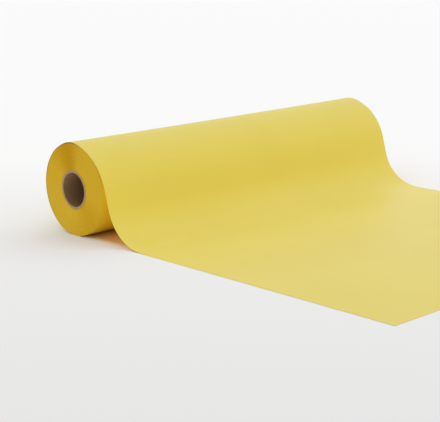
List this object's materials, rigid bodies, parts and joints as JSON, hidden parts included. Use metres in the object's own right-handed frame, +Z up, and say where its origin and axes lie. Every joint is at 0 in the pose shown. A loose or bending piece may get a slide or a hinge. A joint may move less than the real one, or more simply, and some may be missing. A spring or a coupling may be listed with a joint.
{
  "type": "roll of sign vinyl",
  "caption": "Roll of yellow self-adhesive vinyl on a paperboard core, its web paid out over the top and flat along the floor",
  "frame": {"origin": "centre of the core's bore at mid-width", "axes": "+Y along the core's bore, +X towards the free end of the paid-out web, +Z up"},
  "size_m": [0.6762, 0.6104, 0.1389],
  "materials": {
    "kraft_ply": "smooth brown kraft paper",
    "board_ply": "grey-beige recycled paperboard, cut edges",
    "paper_tape": "creped paper tape",
    "wound_web": "cut edges of wound yellow vinyl",
    "vinyl_film": "satin yellow calendered film",
    "adhesive": "clear pressure-sensitive adhesive",
    "release_liner": "silicone-coated release paper"
  },
  "bodies": {
    "running_web": {"running_film": "vinyl_film", "running_adhesive": "adhesive", "running_liner": "release_liner"},
    "roll": {"core_inner_ply": "kraft_ply", "core_wall_ply_1": "board_ply", "core_wall_ply_2": "board_ply", "core_wall_ply_3": "board_ply", "core_wall_ply_4": "board_ply", "core_wall_ply_5": "board_ply", "core_wall_ply_6": "board_ply", "core_wall_ply_7": "board_ply", "core_outer_ply": "board_ply", "start_tape": "paper_tape", "wound_web_inner": "wound_web", "wound_web_middle": "wound_web", "wound_web_outer": "wound_web", "loose_turn_1": "wound_web", "loose_turn_2": "wound_web"},
    "floor_web": {"floor_film": "vinyl_film", "floor_adhesive": "adhesive", "floor_liner": "release_liner"}
  },
  "joints": [
    {"name": "roll_spin", "type": "hinge", "parent": "running_web", "child": "roll", "pos_m": [0, 0, 0], "axis": [0, 1, 0], "range_deg": [-206.7, 330.7]},
    {"name": "web_draw", "type": "slide", "parent": "running_web", "child": "floor_web", "axis": [1, 0, 0], "range_m": [-0.25, 0.4], "deforming": ["floor_film", "floor_adhesive", "floor_liner"]}
  ],
  "couplings": [
    {"joint": "web_draw", "follows": "roll_spin", "m_per_rad": 0.0692}
  ]
}
